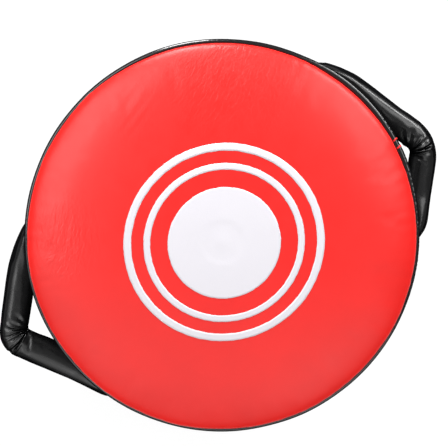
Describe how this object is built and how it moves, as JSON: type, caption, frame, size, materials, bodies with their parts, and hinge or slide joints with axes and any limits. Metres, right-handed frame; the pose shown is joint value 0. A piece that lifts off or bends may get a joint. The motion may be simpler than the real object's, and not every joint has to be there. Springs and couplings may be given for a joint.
{
  "type": "round punch shield",
  "caption": "Round padded punch and kick shield with a printed target on its crowned red face, piped rims, a zip low on the wall and padded hand loops.",
  "frame": {"origin": "centre of the flat back face", "axes": "+Z out of the striking face, X through the two handles, Y along the line between each handle's sewn ends"},
  "size_m": [0.4828, 0.3796, 0.2007],
  "materials": {
    "red_leather": "semi-gloss PU leather, fine grain",
    "white_print": "screen print, satin",
    "black_leather": "semi-gloss PU leather",
    "piping_leather": "gloss PU leather",
    "piping_cord": "twisted cotton cord",
    "soft_foam": "open-cell foam",
    "dense_foam": "rebonded foam",
    "board": "closed-cell foam board",
    "zip_tape": "woven polyester tape",
    "zip_coil": "nylon coil",
    "zip_metal": "nickel plated",
    "handle_leather": "gloss PU leather, creased",
    "handle_foam": "foam rod",
    "webbing": "flat woven webbing",
    "patch_leather": "PU leather, cloth back"
  },
  "bodies": {
    "pad": {"face_panel": "red_leather", "target_disc": "white_print", "target_inner_ring": "white_print", "target_outer_ring": "white_print", "side_wall": "black_leather", "back_panel": "black_leather", "front_piping": "piping_leather", "rear_piping": "piping_leather", "front_piping_cord": "piping_cord", "rear_piping_cord": "piping_cord", "crown_foam": "soft_foam", "foam_sheet_1": "dense_foam", "foam_sheet_2": "dense_foam", "foam_sheet_3": "dense_foam", "foam_sheet_4": "dense_foam", "rear_board": "board", "zip_tape_lower": "zip_tape", "zip_tape_upper": "zip_tape", "zip_coil_lower": "zip_coil", "zip_coil_upper": "zip_coil", "zip_stop_start": "zip_metal", "zip_stop_end": "zip_metal", "handle_right_upper_tab": "handle_leather", "handle_right_lower_tab": "handle_leather", "handle_right_upper_patch": "patch_leather", "handle_right_lower_patch": "patch_leather", "handle_left_upper_tab": "handle_leather", "handle_left_lower_tab": "handle_leather", "handle_left_upper_patch": "patch_leather", "handle_left_lower_patch": "patch_leather"},
    "handle_right": {"handle_right_sleeve": "handle_leather", "handle_right_foam": "handle_foam", "handle_right_webbing": "webbing"},
    "handle_left": {"handle_left_sleeve": "handle_leather", "handle_left_foam": "handle_foam", "handle_left_webbing": "webbing"},
    "zip_slider": {"zip_slider": "zip_metal"},
    "zip_pull": {"zip_pull": "zip_metal"}
  },
  "joints": [
    {"name": "handle_right_swing", "type": "hinge", "parent": "pad", "child": "handle_right", "pos_m": [0.16824, 0, 0.1], "axis": [0, 1, 0], "range_deg": [-25, 25]},
    {"name": "handle_left_swing", "type": "hinge", "parent": "pad", "child": "handle_left", "pos_m": [-0.16824, 0, 0.1], "axis": [0, -1, 0], "range_deg": [-25, 25]},
    {"name": "zip_slide", "type": "hinge", "parent": "pad", "child": "zip_slider", "pos_m": [0, 0, 0.032], "axis": [0, 0, -1], "range_deg": [0, 139]},
    {"name": "zip_pull_turn", "type": "hinge", "parent": "zip_slider", "child": "zip_pull", "pos_m": [0.17881, -0.06685, 0.032], "axis": [0, 0, 1], "range_deg": [0, 150]}
  ]
}
